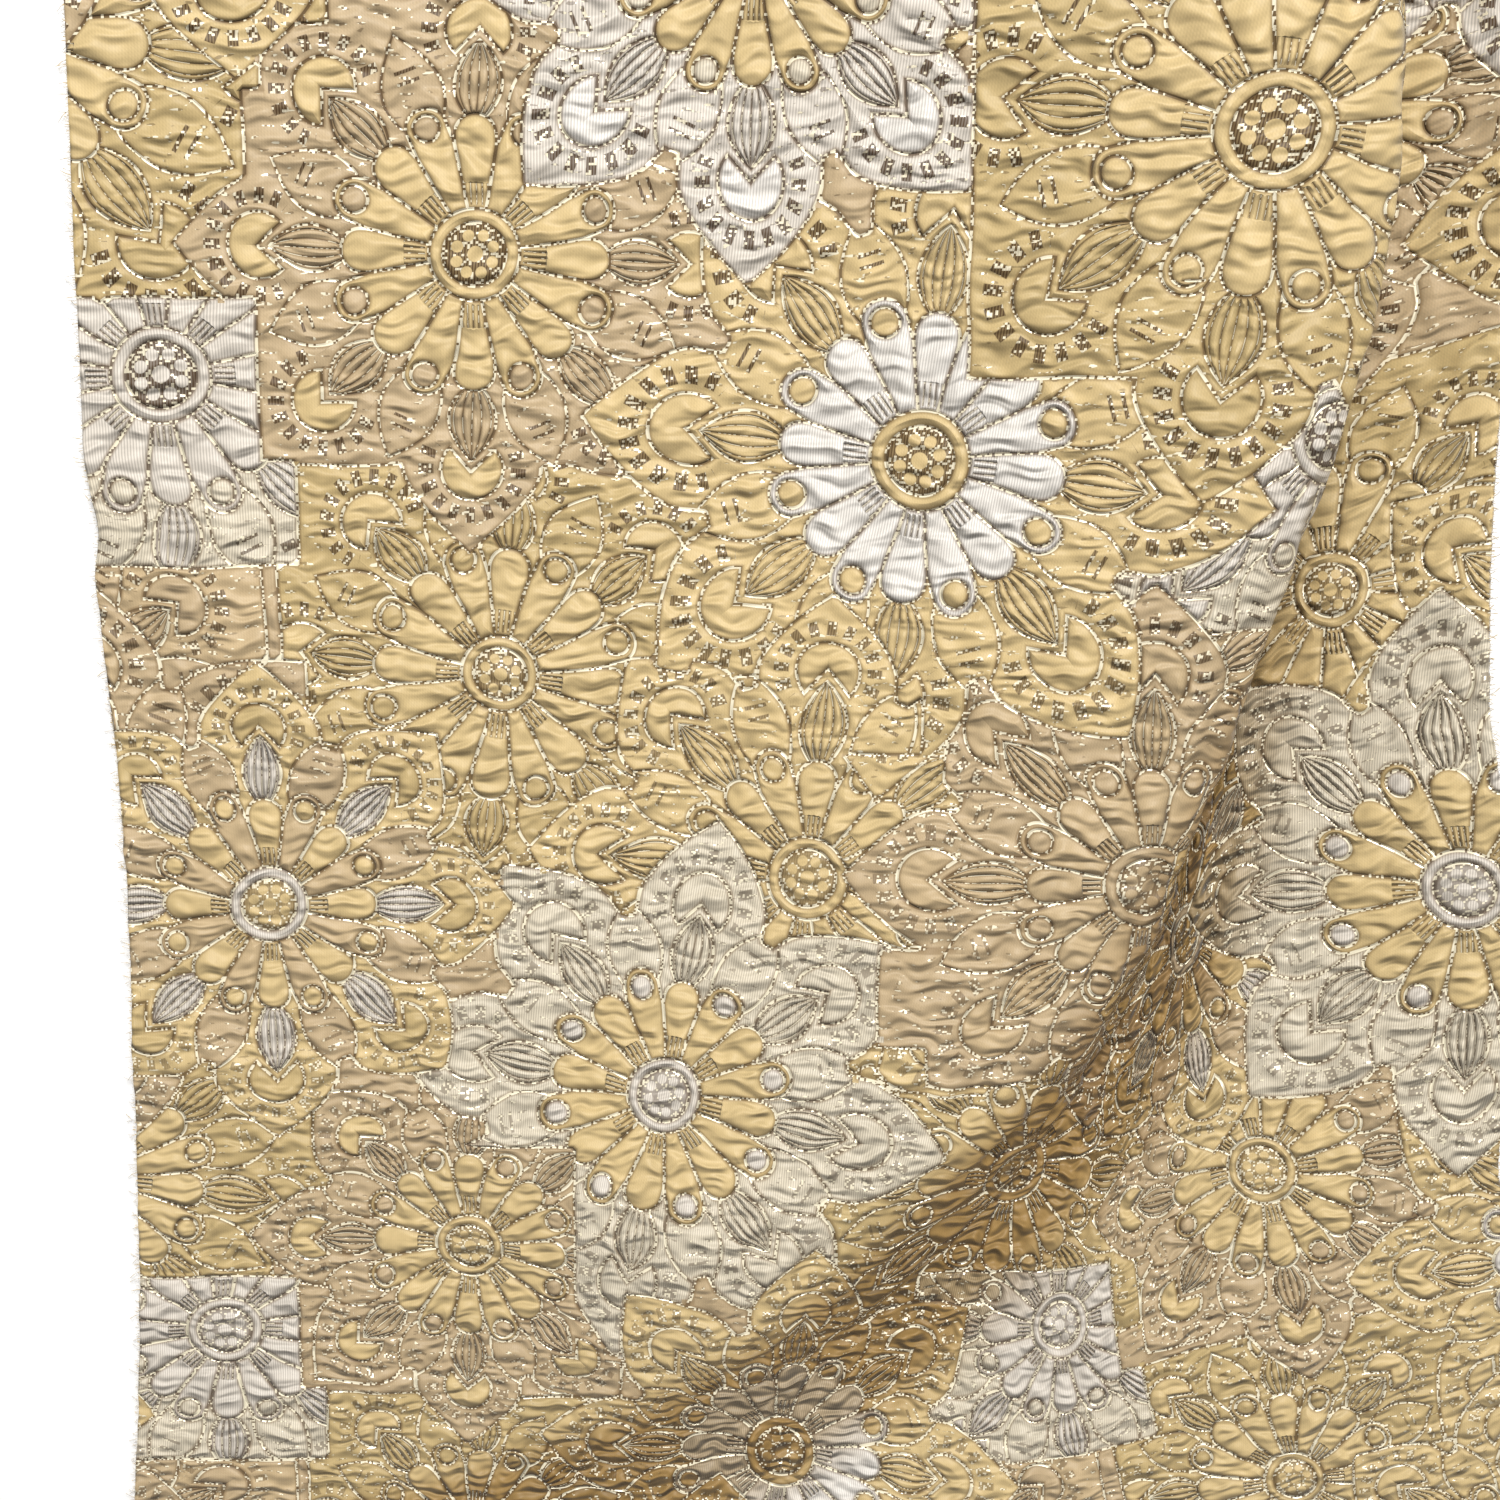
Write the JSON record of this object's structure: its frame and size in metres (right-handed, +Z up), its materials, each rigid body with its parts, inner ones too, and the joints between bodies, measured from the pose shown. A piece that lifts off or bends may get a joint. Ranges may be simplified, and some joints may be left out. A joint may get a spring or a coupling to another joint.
{
  "type": "brocade fabric",
  "caption": "Cut length of puffed floral brocade lying flat on the left, rolled into one large curved fold on the right.",
  "frame": {"origin": "middle of the underside of the cloth's box, on the surface it lies on", "axes": "+Z up off the surface, +Y along the warp towards the end where the fold is deepest, +X across the weave"},
  "size_m": [0.3372, 0.4576, 0.0347],
  "materials": {
    "brocade": "champagne gold satin and taupe twill with silver ribbed areas and fine metallic thread"
  },
  "bodies": {
    "root": {"brocade_cloth": "brocade"}
  },
  "joints": []
}
